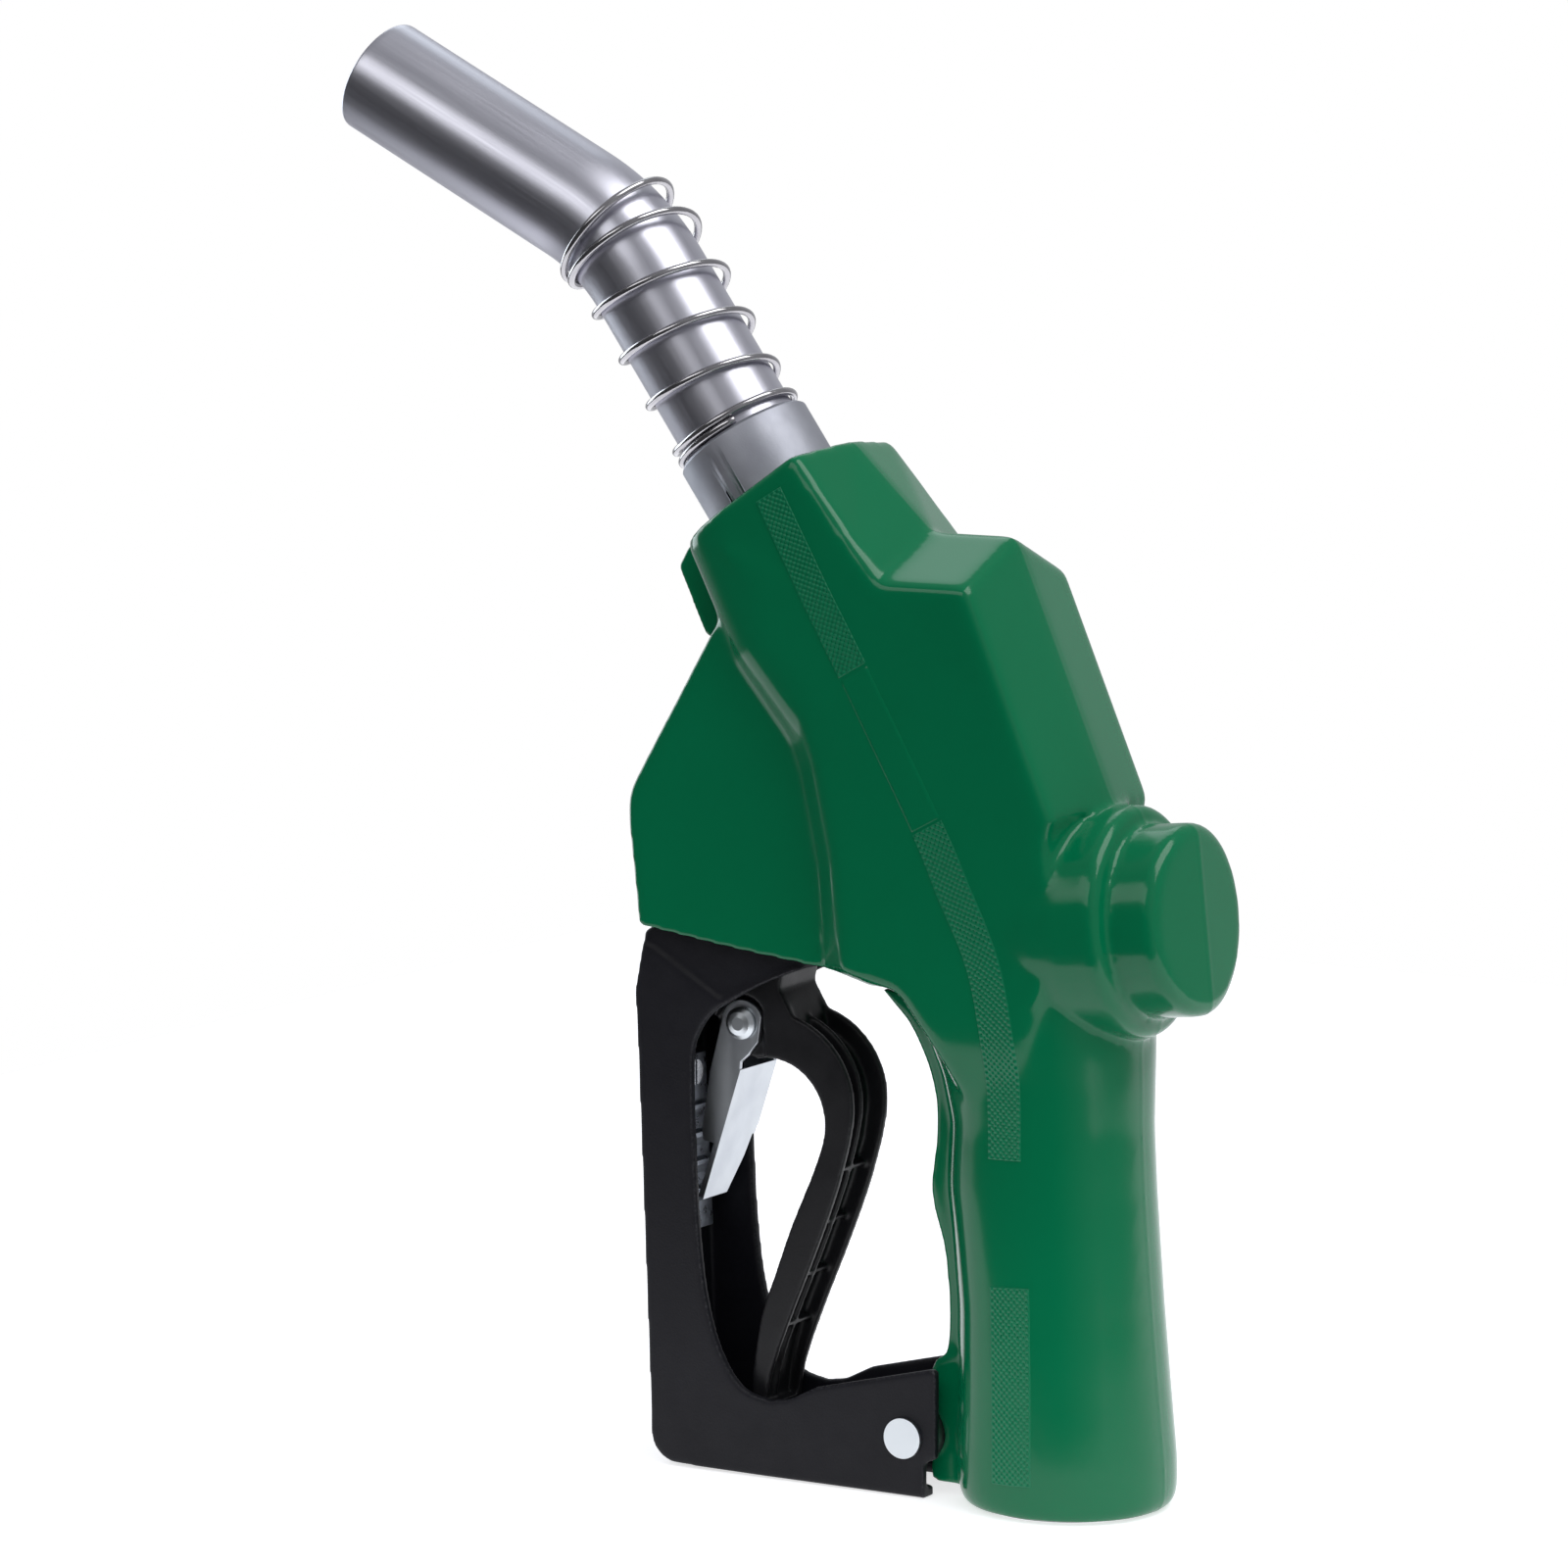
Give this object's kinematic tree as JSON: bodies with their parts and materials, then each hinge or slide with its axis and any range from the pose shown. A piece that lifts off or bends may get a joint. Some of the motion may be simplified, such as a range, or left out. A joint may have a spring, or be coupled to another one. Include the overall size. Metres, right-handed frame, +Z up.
{
  "type": "fuel nozzle",
  "caption": "Automatic shut-off fuel nozzle: bent alloy spout with anchor spring, soft cover over a cast body, hand guard, squeeze lever and hold-open latch.",
  "frame": {"origin": "centre of the inlet thread, in the plane of the inlet face", "axes": "+Z runs up the grip from the inlet; the spout and hand guard lean towards -X, the valve cap looks towards +X; the nozzle is symmetrical about y = 0"},
  "size_m": [0.2493, 0.0578, 0.3652],
  "materials": {
    "cast_body": "bead-blasted die casting",
    "cover_green": "glossy soft vinyl with fine orange-peel and cross-hatched bands",
    "spout_alloy": "satin turned tube",
    "collar_cast": "matte die casting",
    "spring_steel": "drawn spring wire",
    "guard_black": "fine moulded grain",
    "lever_black": "fine moulded grain",
    "latch_zinc": "blue zinc plate, pressed sheet",
    "pin_steel": "bright zinc plate",
    "rack_steel": "dull zinc plate",
    "screw_steel": "zinc plate",
    "stainless": "ground stainless",
    "brass": "turned",
    "seal_rubber": "moulded",
    "cap_alloy": "turned",
    "vent_nylon": "extruded"
  },
  "bodies": {
    "housing": {"body_casting": "cast_body", "scuff_cover": "cover_green", "spout_tube": "spout_alloy", "spout_collar": "collar_cast", "collar_o_ring": "seal_rubber", "spout_screw": "screw_steel", "anchor_spring": "spring_steel", "vent_tube": "vent_nylon", "check_spring": "spring_steel", "check_cage": "brass", "hand_guard": "guard_black", "guard_pivot_pin": "pin_steel", "guard_screws": "screw_steel", "hold_open_rack": "rack_steel", "rack_screw": "screw_steel", "plunger_spring": "spring_steel", "diaphragm": "seal_rubber", "diaphragm_spring": "spring_steel", "diaphragm_cap": "cap_alloy", "diaphragm_screws": "screw_steel", "main_spring": "spring_steel", "packing_nut": "brass", "stem_packing": "seal_rubber", "poppet_cap": "cap_alloy", "cap_o_ring": "seal_rubber"},
    "plunger": {"trip_plunger": "stainless", "fulcrum_pin": "stainless", "trip_balls": "stainless"},
    "lever": {"lever": "lever_black", "latch_rivet": "pin_steel", "latch_spring": "spring_steel"},
    "latch": {"hold_open_latch": "latch_zinc"},
    "main_valve": {"main_stem": "stainless", "main_poppet": "brass", "poppet_seal": "seal_rubber", "poppet_nut": "brass"},
    "check_valve": {"check_poppet": "stainless", "check_seal": "seal_rubber"},
    "trip": {"trip_pin": "stainless", "diaphragm_plate": "stainless"}
  },
  "joints": [
    {"name": "trip_slide", "type": "slide", "parent": "housing", "child": "plunger", "axis": [-0.9205, 0, -0.3907], "range_m": [0, 0.004], "stiffness_N_per_m": 500, "springref_m": -0.01, "deforming": ["plunger_spring"]},
    {"name": "lever_hinge", "type": "hinge", "parent": "plunger", "child": "lever", "pos_m": [-0.103, 0, 0.162], "axis": [0, -1, 0], "range_deg": [0, 12]},
    {"name": "stem_slide", "type": "slide", "parent": "housing", "child": "main_valve", "axis": [0.9945, 0, 0.1045], "range_m": [0, 0.0067], "stiffness_N_per_m": 120, "springref_m": -0.012, "deforming": ["main_spring"]},
    {"name": "latch_swing", "type": "hinge", "parent": "lever", "child": "latch", "pos_m": [-0.0893, 0, 0.1152], "axis": [0, 1, 0], "range_deg": [0, 6.5], "stiffness_Nm_per_rad": 0.03, "springref_deg": -20.05},
    {"name": "check_slide", "type": "slide", "parent": "housing", "child": "check_valve", "axis": [-0.5736, 0, 0.8192], "range_m": [0, 0.005], "stiffness_N_per_m": 300, "springref_m": -0.01, "deforming": ["check_spring"]},
    {"name": "trip_pin_slide", "type": "slide", "parent": "housing", "child": "trip", "axis": [0.9205, 0, 0.3907], "range_m": [0, 0.0025], "stiffness_N_per_m": 300, "springref_m": -0.006, "deforming": ["diaphragm", "diaphragm_spring"]}
  ],
  "couplings": [
    {"joint": "stem_slide", "follows": "lever_hinge", "m_per_rad": 0.0316}
  ]
}
